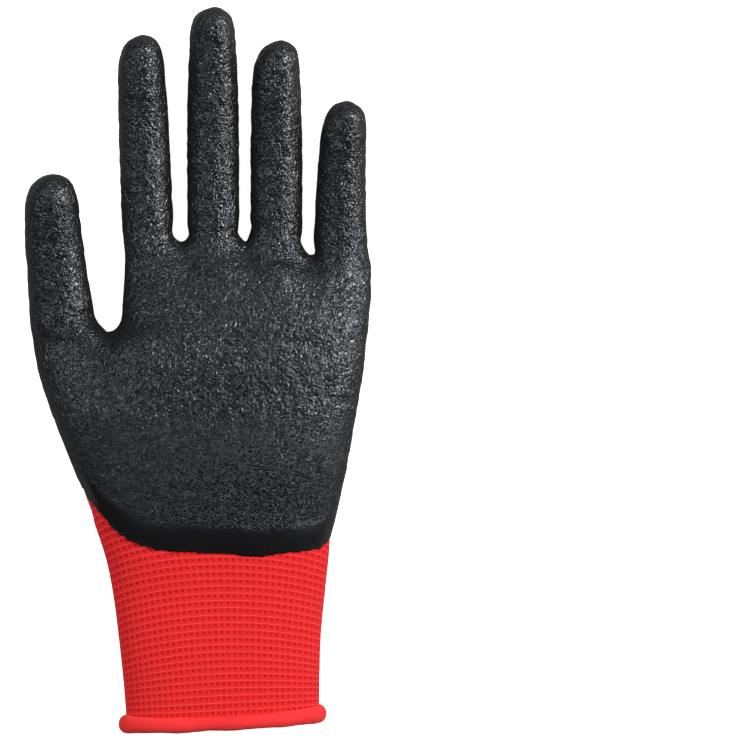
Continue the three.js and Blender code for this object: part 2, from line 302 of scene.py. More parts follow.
# The soft lights: name, place, aim, size, power, and whether glossy surfaces show it.
LIGHTS = (
    ("key", (1.2, 0.5, 0.99), (0, 0, 0), 0.45, 32, True),
    ("fill", (-0.9, 0.35, 1.25), (0, 0, 0), 0.6, 8.5, True),
    ("top", (0.2, 1.5, 0.8), (0, 0, 0), 0.6, 5, True),
    ("side", (1.45, 0.15, 0.4), (0, 0, 0), 0.5, 5, True),
    ("haze", (-1.2, -0.2, 0.8), (0, -0.08, 0), 0.8, 10.5, False),
)
WORLD_LIGHT = 0.015
FLOOR_GLOW = 0.95
FLOOR_DROP = 0.0004
CAMERA_PLACE = (0.0547, 0.0027, 1.503)


def between(rows, place, column):
    """Value of one column of a table at a place, on a smooth curve through the rows."""
    last = len(rows) - 1
    after = next((k for k, row in enumerate(rows) if row[0] > place), last)
    after = max(after, 1)
    a, b = rows[after - 1], rows[after]
    before, beyond = rows[max(after - 2, 0)], rows[min(after + 1, last)]
    span = b[0] - a[0]
    slope_a = (b[column] - before[column]) / (b[0] - before[0])
    slope_b = (beyond[column] - a[column]) / (beyond[0] - a[0])
    t = min(max((place - a[0]) / span, 0), 1)
    value = (1 + 2 * t) * (1 - t) ** 2 * a[column] + t * (1 - t) ** 2 * span * slope_a
    return value + t * t * (3 - 2 * t) * b[column] + t * t * (t - 1) * span * slope_b


def ease(value, low, high):
    """A smooth step from 0 to 1."""
    t = min(max((value - low) / (high - low), 0), 1)
    return t * t * (3 - 2 * t)


def mix(a, b, t):
    return a + (b - a) * t


def cap(share, roundness=ROUNDNESS):
    """Height of a rounded slab over its widest line, at a share of its half width."""
    return max(0, 1 - min(abs(share), 1) ** roundness) ** (1 / roundness)


def rounded(value, exponent):
    """A sine or cosine bent so that the circle becomes a rounded slab."""
    return math.copysign(abs(value) ** (2 / exponent), value)


def cuff_slant(x, y):
    """How far the cuff's slant moves a point along the hand."""
    return CUFF_SLANT * x * min(max((WRIST_Y - y) / SLANT_LENGTH, 0), 1)


def lift(digit, along):
    """How far a digit is lifted off the surface at a distance from its web."""
    share = max(0, along / digit["length"])
    return digit["rise"] + CURL * share * share


def slab_height(x, left, right, depth, layer):
    """Height of the palm's surface at x: layer 2 is the top, 1 the widest line, 0 the underside."""
    share = (x - (left + right) / 2) / ((right - left) / 2)
    middle = depth * EQUATOR
    if layer == 2:
        return middle + depth * (1 - EQUATOR) * cap(share)
    if layer == 1:
        return middle
    return middle - min(middle * UNDERSIDE * cap(share), middle)


def sleeve_spot(y, column, layer, rise):
    """A point of the hand below the thumb's web, or of the sleeve, on one of its column lines."""
    aside = OUTER_LINE * (2 * column / COLUMNS - 1)
    height = cap(aside) if layer == 2 else -min(UNDERSIDE * cap(aside), 1)
    if layer == 1:
        aside, height = 1, 0
    arched = rise * (0.5 + 0.5 * height) - ARCH * aside * aside
    y += arched * (1 - ease(y, WRIST_Y, LEVEL_Y))
    left, right = between(SLEEVE, y, 1), between(SLEEVE, y, 2)
    edge = EDGE_INSET * (right - left)
    plain = mix(left + edge, right - edge, column / COLUMNS)
    web_x = WEBS[THUMB_WEB][0]
    if column <= THUMB_WEB:
        branched = mix(left + edge, web_x, column / THUMB_WEB)
    else:
        branched = mix(web_x, right - edge, (column - THUMB_WEB) / (COLUMNS - THUMB_WEB))
    x = mix(plain, branched, ease(y, WRIST_Y, BRANCH_Y))
    if layer == 1:
        x = left if column == 0 else right
    depth = mix(between(SLEEVE, y, 3), between(SLEEVE, y, 4), 1 - ease(x, *THUMB_SIDE))
    height = slab_height(x, left, right, depth, layer) + between(SLEEVE, y, 5)
    return Vector((x, y + cuff_slant(x, y), height))


def knuckle_spot(y, column, layer):
    """A point of the palm above the thumb's web."""
    left, right = between(KNUCKLES, y, 1), between(KNUCKLES, y, 2)
    edge = EDGE_INSET * (right - left)
    x = mix(left + edge, right - edge, (column - THUMB_WEB) / (COLUMNS - THUMB_WEB))
    if layer == 1:
        x = left if column == THUMB_WEB else right
    height = slab_height(x, left, right, between(KNUCKLES, y, 3), layer)
    if layer == 2 and column in FINGER_WEBS:
        height -= WEB_DIP * max(0, (y - DIP_START) / DIP_LENGTH) ** 2
    drop = LITTLE_DROP * ease(x, *LITTLE_SIDE) * y / LITTLE_DROP_Y
    return Vector((x, y - drop, height))


def web_spot(column, layer):
    """The saddle of a web, or the corner over or under it."""
    x, saddle, corner, top, middle, bottom = WEBS[column]
    if layer == 1:
        return Vector((x, saddle, middle))
    return Vector((x, corner, top if layer == 2 else bottom))


def parting_spot(column, layer):
    """A point of the row where the fingers part."""
    if column in FINGER_WEBS:
        return web_spot(column, layer)
    y = PARTING_Y[column]
    if layer == 1:
        return Vector((PARTING_SIDES[column], y, PARTING_SIDE_HEIGHTS[layer]))
    height = PARTING_TOP if layer == 2 else PARTING_UNDERSIDE
    if column in PARTING_SIDES:
        height = PARTING_SIDE_HEIGHTS[layer]
    return Vector((PARTING_X[column], y, height))


def digit_spot(digit, ring, along, column, layer):
    """A point of one digit's tube, or of the rounded end of its tip."""
    length = digit["length"]
    line = column - digit["column"]
    inner = layer == 1 and 0 < line < 3
    if inner:
        along = length - TIP_END
    curved = 1 - min((length - along) / digit["tip"], 1)
    girth = cap(curved, TIP_ROUNDNESS)
    share = max(along, 0) / length
    wide = digit["width"] * (1 + digit["flare"] * (1 - share) ** 2 - digit["taper"] * share**4)
    angle = math.pi - RING_TURN * (line + 1)
    if layer == 1:
        angle = math.pi if line == 0 else 0
    if layer == 0:
        angle = -angle
    if inner:
        girth, angle = TIP_GIRTH, math.pi if line == 1 else 0
    half = girth * wide / 2
    depth = digit["depth"]
    sine = rounded(math.sin(angle), DIGIT_ROUNDNESS)
    if sine > 0:
        rise = girth * depth * (1 - EQUATOR) * sine
    else:
        rise = max(girth * UNDERSIDE * depth * EQUATOR * sine, -depth * EQUATOR)
    side = half * rounded(math.cos(angle), DIGIT_ROUNDNESS)
    steep = 2 * CURL * max(along, 0) / length**2
    centre_x = digit["x"] + digit["slope"] * along + digit["bend"] * along * along
    centre_x += digit["nose"] * curved * curved
    lean = digit["slope"] + 2 * digit["bend"] * along
    slant = digit["slant"] * side * max(0, 1 - ring / SLANT_RINGS) ** 2
    return Vector((
        centre_x + side,
        digit["base"] + along - lean * side + slant - steep * rise,
        depth * EQUATOR + lift(digit, along) + rise,
    ))


def digit_rings(digit):
    """Places of a digit's rings along its tube, closer together near the tip."""
    start = [digit["first"], digit["first"] + SECOND_RING]
    tip = [digit["length"] - short for short in TIP_RINGS]
    gap = tip[0] - start[-1]
    steps = math.ceil(gap / RING_GAP)
    return start + [start[-1] + gap * k / steps for k in range(1, steps)] + tip


def push_on(shell, faces, marks):
    """Extrudes the front faces by one ring, leaves no wall behind and marks the new vertices."""
    grown = bmesh.ops.extrude_face_region(shell, geom=faces)["geom"]
    bmesh.ops.delete(shell, geom=faces, context="FACES")
    for vert in grown:
        if isinstance(vert, bmesh.types.BMVert):
            for layer, value in marks.items():
                vert[layer] = value
    return [face for face in grown if isinstance(face, bmesh.types.BMFace)]


def hand_cage(sleeve_places, rise=0.0):
    """The hand's coarse cage, open at its lower end, with where each of its points has to go.

    A grid stands across the sleeve, and its faces are pushed on up the palm. They part at the thumb's
    web and again at the fingers' webs, so the whole hand is one seamless skin of four-sided faces.
    """
    shell = bmesh.new()
    column = shell.verts.layers.int.new("column")
    layer = shell.verts.layers.int.new("layer")
    part = shell.verts.layers.int.new("part")
    row = shell.verts.layers.int.new("row")
    place = shell.verts.layers.float.new("place")
    bmesh.ops.create_grid(shell, x_segments=COLUMNS, y_segments=2, size=1)
    for vert in shell.verts:
        vert[column] = round((vert.co.x + 1) / 2 * COLUMNS)
        vert[layer] = 2 - round(vert.co.y + 1)
        vert[place] = sleeve_places[0]
    front = list(shell.faces)
    for y in sleeve_places[1:]:
        front = push_on(shell, front, {place: y})
    thumb_front = [face for face in front if all(vert[column] <= THUMB_WEB for vert in face.verts)]
    front = [face for face in front if face not in thumb_front]
    for y in PALM_ROWS:
        front = push_on(shell, front, {part: PALM_PART, place: y})
    front = push_on(shell, front, {part: PARTING_PART})
    digits = list(DIGITS.values())
    fronts = [thumb_front]
    for digit in digits[1:]:
        lines = range(digit["column"], digit["column"] + 4)
        fronts.append([face for face in front if all(vert[column] in lines for vert in face.verts)])
    for number, (digit, faces) in enumerate(zip(digits, fronts), 1):
        for ring, along in enumerate(digit_rings(digit)):
            faces = push_on(shell, faces, {part: number, place: along, row: ring})
    bmesh.ops.recalc_face_normals(shell, faces=list(shell.faces))
    shell.verts.index_update()
    targets = []
    for vert in shell.verts:
        line, level, along = vert[column], vert[layer], vert[place]
        if vert[part] == PALM_PART:
            spot = knuckle_spot(along, line, level)
        elif vert[part] == PARTING_PART:
            spot = parting_spot(line, level)
        elif vert[part] != SLEEVE_PART:
            spot = digit_spot(digits[vert[part] - 1], vert[row], along, line, level)
        elif line == THUMB_WEB and abs(along - sleeve_places[-1]) < 0.1:
            spot = web_spot(line, level)
        else:
            spot = sleeve_spot(along, line, level, rise)
        targets.append(spot * MM)
        vert.co = spot * MM
    return shell, targets


def settle(shell, targets, rounds=8):
    """Moves the cage until its smoothed surface runs through the places it was made for.

    A point's smoothed place is a fixed mean of itself and its neighbours: of those along the rim on an
    open edge, and of the near and the opposite corners of its faces elsewhere.
    """
    for _ in range(rounds):
        moves = []
        for vert in shell.verts:
            if vert.is_boundary:
                ends = [edge.other_vert(vert).co for edge in vert.link_edges if edge.is_boundary]
                smooth = (4 * vert.co + ends[0] + ends[1]) / 6
            else:
                count = len(vert.link_edges)
                near = sum((edge.other_vert(vert).co for edge in vert.link_edges), Vector())
                loops = [loop.link_loop_next.link_loop_next for loop in vert.link_loops]
                far = sum((loop.vert.co for loop in loops), Vector())
                smooth = (count * count * vert.co + 4 * near + far) / (count * (count + 5))
            moves.append(targets[vert.index] - smooth)
        for vert, move in zip(shell.verts, moves):
            vert.co += move


def lay_stitches(shell):
    """Gives the cage its stitch coordinates: column lines across, millimetres along the hand."""
    column = shell.verts.layers.int["column"]
    layer = shell.verts.layers.int["layer"]
    weave = shell.loops.layers.uv.new("stitches")
    for face in shell.faces:
        inner = [vert[column] for vert in face.verts if vert[layer] != 1]
        for loop in face.loops:
            across = loop.vert[column]
            if loop.vert[layer] == 1 and inner and abs(sum(inner) / len(inner) - across) < 1:
                across += -1 if face.normal.x < 0 else 1
            loop[weave].uv = (across, loop.vert.co.y / MM)


def piece_object(name, shell):
    """Links a mesh made from a bmesh and frees the bmesh."""
    mesh = bpy.data.meshes.new(name)
    shell.to_mesh(mesh)
    shell.free()
    mesh.shade_smooth()
    obj = bpy.data.objects.new(name, mesh)
    bpy.context.scene.collection.objects.link(obj)
    return obj


def add_smoothing(obj, levels):
    smoothing = obj.modifiers.new("smooth skin", "SUBSURF")
    smoothing.levels = levels
    smoothing.render_levels = levels
    return smoothing


def add_wall(obj, thickness, offset):
    wall = obj.modifiers.new("wall", "SOLIDIFY")
    wall.thickness = thickness
    wall.offset = offset
    wall.use_rim = True
    return wall


def smoothed(obj, levels):
    """A bmesh of an object's surface after subdivision."""
    modifier = add_smoothing(obj, levels)
    depsgraph = bpy.context.evaluated_depsgraph_get()
    depsgraph.update()
    evaluated = obj.evaluated_get(depsgraph)
    shell = bmesh.new()
    shell.from_mesh(evaluated.to_mesh())
    evaluated.to_mesh_clear()
    obj.modifiers.remove(modifier)
    return shell


def nearest_digit(x, y):
    """The digit nearest to a place in plan, with the distance along it and off its line."""
    best = None
    for digit in DIGITS.values():
        along = y - digit["base"]
        line = digit["x"] + digit["slope"] * along + digit["bend"] * along * along
        offset = x - line
        if best is None or abs(offset) < abs(best[2]):
            best = (digit, along, offset)
    return best


def coat_field(point):
    """How far a point is inside the coat's edge, and below zero where the knit is bare."""
    x, y, z = point / MM
    across = min(max(x / PALM_SPAN + 0.5, 0), 1)
    palm_edge = mix(*PALM_EDGE, across)
    low = between(COAT_HEM, x, 1)
    steep = abs(between(COAT_HEM, x + 1, 1) - between(COAT_HEM, x - 1, 1)) / 2
    arch = ARCH * (x / ARCH_HALF) ** 2
    stepped = round((low + arch) / COURSE) * COURSE - arch
    low = mix(low, stepped, ROW_SHARE * ease(steep, *ROW_SLOPES))
    low += EDGE_WANDER * noise.noise(Vector((x * 0.5, 7, 3)))
    digit, along, offset = nearest_digit(x, y)
    half = digit["width"] / 2
    near = min(max(offset, -half), half)
    digit_edge = DIGIT_EDGE + digit["edge"] * near + lift(digit, along)
    edge = mix(palm_edge, digit_edge, ease(along, *DIGIT_START))
    rounding = WINDOW_ROUND * min(1, (offset / half) ** 2)
    bare = digit["length"] - along - digit["cover"] - rounding
    return z - edge - WINDOW_FALL * min(0, bare) - HEM_FALL * max(0, low - y)


def trim(shell, field):
    """Cuts a skin along the line where a field is zero and drops the part below it."""
    level = shell.verts.layers.float.new("level")
    for vert in shell.verts:
        vert[level] = field(vert.co)
    line = set()
    for edge in list(shell.edges):
        a, b = edge.verts
        fa, fb = a[level], b[level]
        if fa * fb < 0:
            share = fa / (fa - fb)
            if share < SNAP and a not in line:
                a[level] = 0
                line.add(a)
            elif share > 1 - SNAP and b not in line:
                b[level] = 0
                line.add(b)
    for edge in list(shell.edges):
        a, b = edge.verts
        fa, fb = a[level], b[level]
        if fa * fb < 0:
            _, fresh = bmesh.utils.edge_split(edge, a, fa / (fa - fb))
            fresh[level] = 0
            line.add(fresh)
    bmesh.ops.connect_verts(shell, verts=list(line))
    gone = [face for face in shell.faces if min(vert[level] for vert in face.verts) < 0]
    bmesh.ops.delete(shell, geom=gone, context="FACES")
    loose = [vert for vert in shell.verts if not vert.link_faces]
    bmesh.ops.delete(shell, geom=loose, context="VERTS")


def coat_ends(point):
    """How near a place of the coat is to the wrist and to a fingertip, each as a share."""
    y = point.y / MM
    digit, along, _ = nearest_digit(point.x / MM, y)
    fingertip = ease(along, digit["length"] - TIP_END_START, digit["length"] - TIP_END_STOP)
    return ease(-y, *WRIST_END), FINGERTIP_SHARE * fingertip


def shape_coat(shell):
    """Sets the coat's smooth band and wall, and lifts it off the knit under it."""
    rim = [vert for vert in shell.verts if vert.is_boundary]
    tree = kdtree.KDTree(len(rim))
    for index, vert in enumerate(rim):
        tree.insert(vert.co, index)
    tree.balance()
    band = shell.verts.layers.float.new("smooth_band")
    groups = shell.verts.layers.deform.verify()
    moves = []
    for vert in shell.verts:
        _, _, away = tree.find(vert.co)
        away /= MM
        y = vert.co.y / MM
        wrist, fingertip = coat_ends(vert.co)
        reach = mix(*BAND_REACH, max(wrist, FINGERTIP_BAND * fingertip))
        heel = HEEL_SMOOTHING * (1 - ease(y, *HEEL))
        vert[band] = max(1 - ease(away, reach * 0.5, reach), heel)
        lump = noise.noise(vert.co * 260) + 0.5 * noise.noise(vert.co * 560)
        full = PLAIN_WALL + LUMP_WALL * lump * (1 - vert[band])
        rim_wall = RIM_WALL + RIM_LUMPS * noise.noise(vert.co * 620)
        thinned = ease(away, 0, mix(*RIM_REACH, max(wrist, fingertip)))
        vert[groups][0] = min(1, max(LEAST_WALL, mix(rim_wall, full, thinned)))
        over_cuff = (1 - ease(y, *OVER_CUFF)) * mix(0.4, 1, ease(away, 0, OVER_CUFF_REACH))
        moves.append(vert.normal * mix(HAND_GAP, CUFF_GAP, over_cuff))
    for vert, move in zip(shell.verts, moves):
        vert.co += move


def section_angle(turn):
    """The angle at an equal share of the way round a rounded slab, so that the wales are even."""
    if not SECTION_TABLE:
        total = 0.0
        last = None
        for step in range(SECTION_STEPS + 1):
            angle = WHOLE_TURN * step / SECTION_STEPS
            x = SECTION_HALVES[0] * rounded(math.cos(angle), ROUNDNESS)
            spot = Vector((x, SECTION_HALVES[1] * rounded(math.sin(angle), ROUNDNESS)))
            total += (spot - last).length if last else 0
            last = spot
            SECTION_TABLE.append((total, angle))
    aim = (turn % 1) * SECTION_TABLE[-1][0]
    low, high = 0, SECTION_STEPS
    while high - low > 1:
        middle = (low + high) // 2
        if SECTION_TABLE[middle][0] <= aim:
            low = middle
        else:
            high = middle
    (a, angle_a), (b, angle_b) = SECTION_TABLE[low], SECTION_TABLE[high]
    return mix(angle_a, angle_b, (aim - a) / (b - a))


def sleeve_section(y, turn, grow=0.0):
    """A point of the sleeve's outline at y, a share of a turn round it, grown outwards."""
    left, right = between(SLEEVE, y, 1), between(SLEEVE, y, 2)
    depth = between(SLEEVE, y, 3)
    angle = section_angle(turn)
    x = (left + right) / 2 + ((right - left) / 2 + grow) * rounded(math.cos(angle), ROUNDNESS)
    sine = rounded(math.sin(angle), ROUNDNESS)
    if sine > 0:
        rise = (depth * (1 - EQUATOR) + grow) * sine
    else:
        rise = max((depth * EQUATOR + grow) * UNDERSIDE * sine, -depth * EQUATOR - grow)
    return Vector((x, y + cuff_slant(x, y), between(SLEEVE, y, 5) + depth * EQUATOR + rise))


def palm_middle(turn):
    """1 in the middle of the palm side of the cuff, 0 at its sides and on its back."""
    return max(0, rounded(math.sin(section_angle(turn)), ROUNDNESS)) ** 3


def hem_line(turn):
    """How far down the hem's middle line lies, before its slant."""
    return HEM_Y - HEM_DROP - HEM_SAG * palm_middle(turn)


def stitch_grid(wales, courses, x_segments, y_segments):
    """A flat grid of one unit, with stitch coordinates of so many wales and courses."""
    shell = bmesh.new()
    bmesh.ops.create_grid(shell, x_segments=x_segments, y_segments=y_segments, size=0.5)
    weave = shell.loops.layers.uv.new("stitches")
    for face in shell.faces:
        for loop in face.loops:
            spot = loop.vert.co
            loop[weave].uv = ((spot.x + 0.5) * wales, (0.5 - spot.y) * courses)
    return shell


def close_round(shell):
    """Joins the ends of a grid that was bent round, and turns its faces outwards."""
    bmesh.ops.remove_doubles(shell, verts=shell.verts, dist=1e-6)
    bmesh.ops.recalc_face_normals(shell, faces=list(shell.faces))


class Nodes:
    """Places and links the nodes of one material or group."""

    def __init__(self, tree):
        self.tree = tree

    def add(self, kind, values=None, **settings):
        node = self.tree.nodes.new(kind)
        for name, value in settings.items():
            setattr(node, name, value)
        for name, value in (values or {}).items():
            socket = node.inputs[name]
            if isinstance(value, bpy.types.NodeSocket):
                self.tree.links.new(value, socket)
            else:
                socket.default_value = value
        return node

    def math(self, operation, first, second=0.0, third=0.0):
        values = {0: first, 1: second, 2: third}
        return self.add("ShaderNodeMath", values, operation=operation).outputs[0]

    def shift(self, operation, vector, values):
        values = {0: vector, **values}
        return self.add("ShaderNodeVectorMath", values, operation=operation).outputs[0]

    def noise(self, **values):
        return self.add("ShaderNodeTexNoise", values).outputs["Fac"]

    def off_middle(self, value):
        """How far the part of a value after its point is from a half."""
        return self.math("ABSOLUTE", self.math("SUBTRACT", self.math("FRACT", value), 0.5))

    def blend(self, factor, first, second):
        values = {0: factor, 6: first, 7: second}
        return self.add("ShaderNodeMix", values, data_type="RGBA").outputs[2]

    def step(self, value, low, high, to_low=0.0, to_high=1.0):
        values = {"Value": value, "From Min": low, "From Max": high, "To Min": to_low, "To Max": to_high}
        node = self.add("ShaderNodeMapRange", values, interpolation_type="SMOOTHSTEP", clamp=True)
        return node.outputs["Result"]


def group(name, inputs, outputs):
    """A shader node group with named inputs and outputs."""
    tree = bpy.data.node_groups.new(name, "ShaderNodeTree")
    for label, kind in inputs:
        tree.interface.new_socket(label, in_out="INPUT", socket_type=kind)
    for label, kind in outputs:
        tree.interface.new_socket(label, in_out="OUTPUT", socket_type=kind)
    nodes = Nodes(tree)
    return tree, nodes, nodes.add("NodeGroupInput"), nodes.add("NodeGroupOutput")


def shared_group(name, make):
    return bpy.data.node_groups.get(name) or make()


def yarn_fuzz():
    """Fine fibres and slow unevenness of dyed yarn, used by every knit."""
    tree, nodes, given, out = group(
        "yarn fuzz",
        [("Position", "NodeSocketVector")],
        [("Fibre", "NodeSocketFloat"), ("Tone", "NodeSocketFloat")],
    )
    position = given.outputs["Position"]
    fibre = nodes.noise(Vector=position, Scale=2600, Detail=2, Roughness=0.6)
    tone = nodes.noise(Vector=position, Scale=55, Detail=3, Roughness=0.55)
    tree.links.new(fibre, out.inputs["Fibre"])
    tree.links.new(tone, out.inputs["Tone"])
    return tree


def crinkle():
    """The crinkled skin of dipped latex: short worm-like ridges over soft lumps.

    Towards the wrist the ridges are squeezed along the hand and sharper, and the lumps fade.
    """
    tree, nodes, given, out = group(
        "latex crinkle",
        [("Position", "NodeSocketVector"), ("Smooth", "NodeSocketFloat")],
        [("Height", "NodeSocketFloat"), ("Crest", "NodeSocketFloat")],
    )
    x, y, z = nodes.add("ShaderNodeSeparateXYZ", {0: given.outputs["Position"]}).outputs
    below = nodes.math("MINIMUM", nodes.math("ADD", y, 0.012), 0.0)
    squeezed = nodes.math("MULTIPLY_ADD", below, 0.8, y)
    position = nodes.add("ShaderNodeCombineXYZ", {0: x, 1: squeezed, 2: z}).outputs[0]
    wander = nodes.add("ShaderNodeTexNoise", {"Vector": position, "Scale": 420, "Detail": 1})
    push = nodes.shift("SUBTRACT", wander.outputs["Color"], {1: (0.5, 0.5, 0.5)})
    push = nodes.shift("SCALE", push, {"Scale": 0.0022})
    moved = nodes.shift("ADD", position, {1: push})
    cells = nodes.add(
        "ShaderNodeTexVoronoi",
        {"Vector": moved, "Scale": 760, "Smoothness": 0.3},
        feature="SMOOTH_F1",
    ).outputs["Distance"]
    ridges = nodes.noise(Vector=moved, Scale=640, Detail=2, Roughness=0.5)
    fold = nodes.math("ABSOLUTE", nodes.math("SUBTRACT", ridges, 0.5))
    heel = nodes.step(y, -0.046, -0.01, 1, 0)
    sharp = nodes.math("MULTIPLY_ADD", heel, 5.5, 5.0)
    fold = nodes.math("SUBTRACT", 1.0, nodes.math("MULTIPLY", fold, sharp))
    fold = nodes.math("MAXIMUM", fold, 0.0)
    lumps = nodes.noise(Vector=position, Scale=190, Detail=2)
    soft = nodes.math("ADD", nodes.math("MULTIPLY", lumps, 0.9), nodes.math("MULTIPLY", cells, -0.55))
    soft = nodes.math("MULTIPLY", soft, nodes.math("MULTIPLY_ADD", heel, -0.7, 1.0))
    height = nodes.math("ADD", nodes.math("MULTIPLY", fold, 0.5), soft)
    rough = nodes.math("SUBTRACT", 1.0, given.outputs["Smooth"])
    tree.links.new(nodes.math("MULTIPLY", height, rough), out.inputs["Height"])
    tree.links.new(nodes.math("MULTIPLY", fold, rough), out.inputs["Crest"])
    return tree


def material(name):
    finish = bpy.data.materials.new(name)
    finish.use_nodes = True
    finish.node_tree.nodes.clear()
    return finish, Nodes(finish.node_tree)


def finish_off(nodes, surface, height, depth, **looks):
    """Adds the shader, its bump and the output of a material."""
    bump = nodes.add("ShaderNodeBump", {"Height": height, "Distance": depth, "Strength": 1.0})
    values = {"Base Color": surface, "Normal": bump.outputs[0]}
    values.update({label.replace("_", " "): value for label, value in looks.items()})
    shader = nodes.add("ShaderNodeBsdfPrincipled", values)
    nodes.add("ShaderNodeOutputMaterial", {"Surface": shader.outputs[0]})


def latex_finish(sizes):
    """Black latex: glossier on the crests of its crinkles, and a little paler there as a faint painted
    highlight.
    """
    finish, nodes = material("black latex")
    place = nodes.add("ShaderNodeTexCoord").outputs["Object"]
    fade = nodes.add("ShaderNodeAttribute", attribute_name="smooth_band").outputs["Fac"]
    crinkles = shared_group("latex crinkle", crinkle)
    skin = nodes.add("ShaderNodeGroup", {"Position": place, "Smooth": fade}, node_tree=crinkles)
    crest = skin.outputs["Crest"]
    # Painted light: the crests get a faint painted highlight and the hollows between them painted shade,
    # in the base colour.
    colour = nodes.blend(crest, (0.005, 0.005, 0.0055, 1), (0.010, 0.0103, 0.0115, 1))
    rough = nodes.step(crest, 0, 1, 0.28, 0.22)
    finish_off(
        nodes, colour, skin.outputs["Height"], sizes.crinkle_depth, Roughness=rough,
        Specular_IOR_Level=0.5, Specular_Tint=(0.86, 0.9, 1, 1),
    )
    return finish


def knit(name):
    """A knit's material with its nodes, place, stitch coordinates across and along, and yarn."""
    finish, nodes = material(name)
    place = nodes.add("ShaderNodeTexCoord").outputs["Object"]
    weave = nodes.add("ShaderNodeUVMap", uv_map="stitches").outputs[0]
    across, along, _ = nodes.add("ShaderNodeSeparateXYZ", {0: weave}).outputs
    fuzz = shared_group("yarn fuzz", yarn_fuzz)
    yarn = nodes.add("ShaderNodeGroup", {"Position": place}, node_tree=fuzz).outputs
    return finish, nodes, place, across, along, yarn


def knit_finish(sizes):
    """Red jersey: columns of slanted loops by the piece's own stitch coordinates."""
    finish, nodes, _, line, along, yarn = knit("red jersey knit")
    across = nodes.off_middle(nodes.math("MULTIPLY", line, COLUMN_LOOPS))
    course = nodes.math("MULTIPLY", along, 1 / LOOP_HEIGHT)
    slanted = nodes.math("ADD", course, nodes.math("MULTIPLY", across, 1.1))
    turn = nodes.math("SINE", nodes.math("MULTIPLY", slanted, WHOLE_TURN))
    strand = nodes.math("MULTIPLY", nodes.math("ADD", turn, 1.0), 0.5)
    side = nodes.math("SUBTRACT", across, 0.25)
    fall = nodes.math("MULTIPLY", nodes.math("MULTIPLY", side, side), 14)
    height = nodes.math("MULTIPLY", strand, nodes.math("SUBTRACT", 1.0, fall))
    height = nodes.math("ADD", height, nodes.math("MULTIPLY", yarn["Fibre"], 0.25))
    # Painted light: the loops' tops take the lit red, and the places between them take the deep red as
    # painted shade.
    colour = nodes.blend(nodes.step(height, 0.05, 0.9), sizes.shade_red, sizes.lit_red)
    finish_off(nodes, colour, height, 0.00035, Roughness=0.85, **YARN)
    return finish


def rib_finish(sizes):
    """Red rib of the cuff: painted shade darkens the hole in each cell, and a painted highlight brightens
    the elastic thread between the rows.
    """
    finish, nodes, place, wale, course, yarn = knit("red rib knit")
    within = nodes.math("FRACT", course)
    from_hole = nodes.math("ABSOLUTE", nodes.math("SUBTRACT", within, 0.5 - HOLE_RISE))
    hole_x = nodes.step(nodes.off_middle(wale), 0.13, 0.34, 1, 0)
    hole_y = nodes.step(from_hole, 0.1, 0.31, 1, 0)
    uneven = nodes.noise(Vector=place, Scale=480)
    patchy = nodes.step(uneven, 0.35, 0.6, 0.75, 1)
    hole = nodes.math("MULTIPLY", nodes.math("MULTIPLY", hole_x, hole_y), patchy)
    thread = nodes.step(nodes.off_middle(course), 0.4, 0.46)
    # The hole's dark colour is painted shade; the holes are also real dents in the cuff's mesh and bump.
    base = nodes.blend(hole, sizes.lit_red, sizes.hole_shade_red)
    # The bright line is a painted highlight on the upper edge of the elastic thread; the same line also
    # raises the bump.
    colour = nodes.blend(nodes.math("MULTIPLY", thread, 0.8), base, sizes.thread_and_highlight_red)
    height = nodes.math("SUBTRACT", nodes.math("MULTIPLY", thread, 0.5), nodes.math("MULTIPLY", hole, 0.5))
    height = nodes.math("ADD", height, nodes.math("MULTIPLY", yarn["Fibre"], 0.3))
    finish_off(nodes, colour, height, 0.00018, Roughness=0.85, **YARN)
    return finish


def hem_finish(sizes):
    """Overlocked thread wound closely round the hem."""
    finish, nodes, _, turns, _, yarn = knit("red hem thread")
    strand = nodes.math("ADD", turns, nodes.math("MULTIPLY", yarn["Tone"], 1.6))
    wave = nodes.math("SINE", nodes.math("MULTIPLY", strand, WHOLE_TURN))
    ridge = nodes.math("MULTIPLY", nodes.math("ADD", wave, 1.0), 0.5)
    height = nodes.math("ADD", ridge, nodes.math("MULTIPLY", yarn["Fibre"], 0.3))
    patchy = nodes.step(yarn["Tone"], 0.3, 0.7, 0.15, 0.5)
    bright = nodes.blend(0.45, sizes.lit_red, sizes.thread_and_highlight_red)
    # Painted shade: the valleys between the thread's turns take the deep red, more in some patches than in
    # others.
    valley_shade = nodes.math("MULTIPLY", nodes.math("SUBTRACT", 1.0, ridge), patchy)
    colour = nodes.blend(valley_shade, bright, sizes.shade_red)
    height = nodes.math("MULTIPLY", height, patchy)
    finish_off(nodes, colour, height, 0.00016, Roughness=0.82, **YARN)
    return finish


def floor_finish():
    """A pale floor that the camera sees as white, and that lights the glove only a little."""
    finish, nodes = material("pale floor")
    grain = nodes.noise(Scale=30, Detail=2)
    pale = nodes.blend(grain, (0.93, 0.93, 0.93, 1), (0.95, 0.95, 0.95, 1))
    seen = nodes.add("ShaderNodeLightPath").outputs["Is Camera Ray"]
    tone = nodes.blend(seen, (0.22, 0.22, 0.22, 1), pale)
    glow = nodes.math("MULTIPLY", seen, FLOOR_GLOW)
    finish_off(
        nodes, tone, grain, 0.00002, Roughness=0.9, Specular_IOR_Level=0.0,
        Emission_Color=(1, 1, 1, 1), Emission_Strength=glow,
    )
    return finish


def colour_setting(name, description, default):
    return bpy.props.FloatVectorProperty(
        name=name, description=description, default=default, size=4, subtype="COLOR", min=0, max=1
    )


